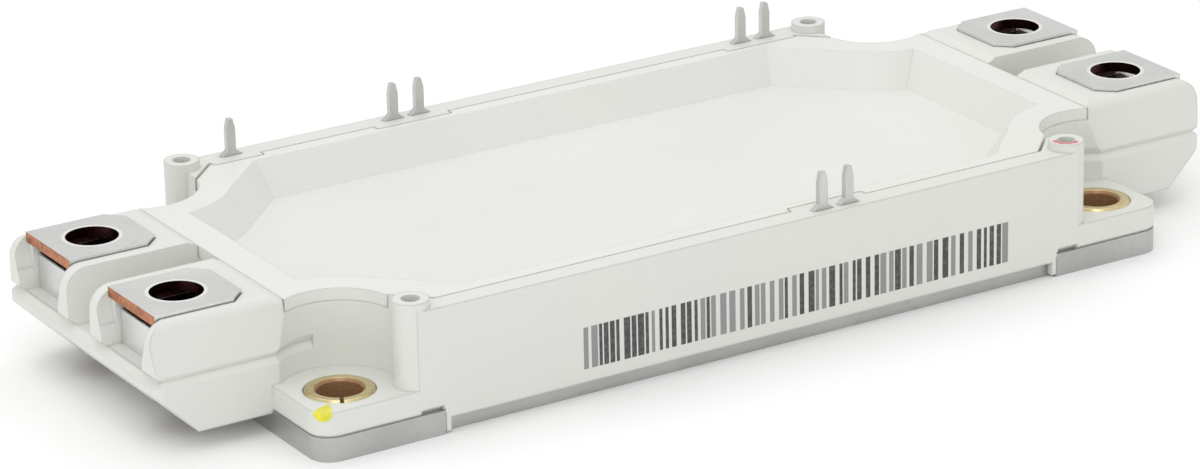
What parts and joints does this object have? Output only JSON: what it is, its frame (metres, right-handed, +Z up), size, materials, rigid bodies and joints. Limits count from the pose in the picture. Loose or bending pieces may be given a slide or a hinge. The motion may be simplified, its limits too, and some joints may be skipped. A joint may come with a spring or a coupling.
{
  "type": "igbt power module",
  "caption": "Flat half-bridge power semiconductor module: white moulded frame with screw terminals at both ends and a dished lid on a metal base plate.",
  "frame": {"origin": "centre of the base plate's underside", "axes": "+X along the module from the DC terminals to the output terminals, +Y across it towards the side with more control pins, +Z up out of the base plate"},
  "size_m": [0.152, 0.062, 0.0208],
  "materials": {
    "nickel_plated_copper": "satin nickel over copper",
    "white_frame_plastic": "fine moulded grain",
    "white_lid_plastic": "fine moulded grain",
    "yellow_zinc_steel": "yellow passivated zinc",
    "zinc_steel": "bright zinc",
    "nickel_plated_terminal": "satin nickel, bare copper at the sheared edges",
    "tinned_pin": "dull tin",
    "bare_copper": "matt bare copper",
    "white_ceramic": "matt alumina",
    "silicon": "metallised silicon",
    "aluminium_wire": "bright drawn wire",
    "sensor_body": "glazed ceramic",
    "clear_gel": "soft clear gel"
  },
  "bodies": {
    "root": {"base_plate": "nickel_plated_copper", "housing_frame": "white_frame_plastic", "lid": "white_lid_plastic", "mounting_bushes": "yellow_zinc_steel", "terminal_nuts": "zinc_steel", "dc_plus_terminal": "nickel_plated_terminal", "dc_minus_terminal": "nickel_plated_terminal", "ac_terminal": "nickel_plated_terminal", "control_pin_1": "tinned_pin", "control_pin_2": "tinned_pin", "control_pin_3": "tinned_pin", "control_pin_4": "tinned_pin", "control_pin_5": "tinned_pin", "control_pin_6": "tinned_pin", "control_pin_7": "tinned_pin", "tile_base_copper_1": "bare_copper", "tile_base_copper_2": "bare_copper", "tile_base_copper_3": "bare_copper", "ceramic_tile_1": "white_ceramic", "ceramic_tile_2": "white_ceramic", "ceramic_tile_3": "white_ceramic", "copper_tracks_1": "bare_copper", "copper_tracks_2": "bare_copper", "copper_tracks_3": "bare_copper", "igbt_chips_1": "silicon", "igbt_chips_2": "silicon", "igbt_chips_3": "silicon", "diode_chips_1": "silicon", "diode_chips_2": "silicon", "diode_chips_3": "silicon", "bond_wires_1": "aluminium_wire", "bond_wires_2": "aluminium_wire", "bond_wires_3": "aluminium_wire", "pin_wires": "aluminium_wire", "thermistor": "sensor_body", "silicone_gel": "clear_gel"}
  },
  "joints": []
}
